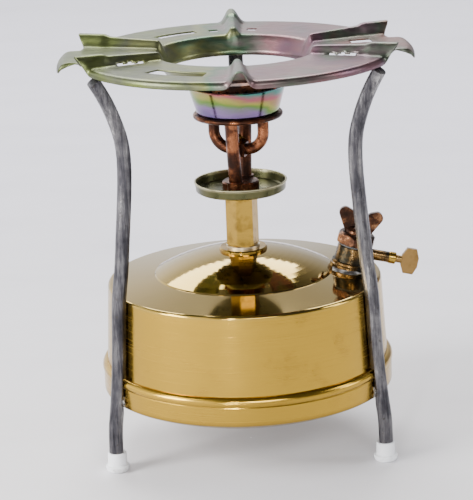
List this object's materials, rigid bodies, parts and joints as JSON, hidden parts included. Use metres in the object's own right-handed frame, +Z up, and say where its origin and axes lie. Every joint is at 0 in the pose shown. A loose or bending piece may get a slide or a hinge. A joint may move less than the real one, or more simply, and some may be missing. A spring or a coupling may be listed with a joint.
{
  "type": "alcohol spirit stove",
  "caption": "Portable spirit stove: brass tank on rod legs with a vapour burner on a hexagonal column, screw filler with air valve and a lift-off pressed pot ring.",
  "frame": {"origin": "on the ground below the axis of the tank and column", "axes": "+Z up along the column, +X towards the filler and air screw, front towards -Y, one leg at the back (+Y)"},
  "size_m": [0.2109, 0.1992, 0.2503],
  "materials": {
    "brass_tank": "polished spun brass",
    "brass_fittings": "turned brass",
    "bronze": "dark oxidised bronze",
    "burner_metal": "copper-brown, heat oxidised",
    "chromated_steel": "iridescent zinc plate",
    "cup_metal": "pressed, tarnished",
    "bare_steel": "mottled dark grey bar",
    "solder": "dull solder",
    "white_boots": "white moulded boots",
    "gasket": "dark washer",
    "cotton": "woven cotton"
  },
  "bodies": {
    "stove": {"tank_shell": "brass_tank", "tank_base": "brass_tank", "column_boss": "brass_fittings", "column_washer": "brass_fittings", "burner_column": "brass_fittings", "wick": "cotton", "spirit_cup": "cup_metal", "burner_base": "burner_metal", "riser_tube_front": "burner_metal", "riser_tube_back": "burner_metal", "return_tube_left": "burner_metal", "return_tube_right": "burner_metal", "jet_holder": "burner_metal", "jet": "brass_fittings", "burner_head": "burner_metal", "inner_cap": "burner_metal", "leg_left": "bare_steel", "leg_right": "bare_steel", "leg_back": "bare_steel", "leg_solder": "solder", "foot_left": "white_boots", "foot_right": "white_boots", "foot_back": "white_boots", "filler_flange": "bronze", "filler_neck": "bronze", "air_screw_seat": "bronze", "air_screw_gland": "brass_fittings"},
    "pot_ring": {"pot_ring": "chromated_steel"},
    "flame_bowl": {"flame_bowl": "chromated_steel"},
    "outer_cap": {"outer_cap": "burner_metal"},
    "filler_seal": {"filler_seal": "gasket"},
    "filler_cap": {"filler_cap": "bronze"},
    "air_screw": {"air_screw": "brass_fittings"}
  },
  "joints": [
    {"name": "ring_lift", "type": "slide", "parent": "stove", "child": "pot_ring", "axis": [0, 0, 1], "range_m": [0, 0.04]},
    {"name": "bowl_lift", "type": "slide", "parent": "stove", "child": "flame_bowl", "axis": [0, 0, 1], "range_m": [0, 0.025]},
    {"name": "cap_lift", "type": "slide", "parent": "stove", "child": "outer_cap", "axis": [0, 0, 1], "range_m": [0, 0.025]},
    {"name": "filler_lift", "type": "slide", "parent": "stove", "child": "filler_seal", "axis": [0.225, 0, 0.9744], "range_m": [0, 0.0045]},
    {"name": "filler_turn", "type": "hinge", "parent": "filler_seal", "child": "filler_cap", "pos_m": [0.0685, 0, 0.12643], "axis": [0.225, 0, 0.9744], "range_deg": [0, 1080]},
    {"name": "air_turn", "type": "hinge", "parent": "stove", "child": "air_screw", "pos_m": [0.09072, 0, 0.11155], "axis": [0.9744, 0, -0.225], "range_deg": [0, 720]}
  ],
  "couplings": [
    {"joint": "filler_lift", "follows": "filler_turn", "m_per_rad": 0.0002387}
  ]
}
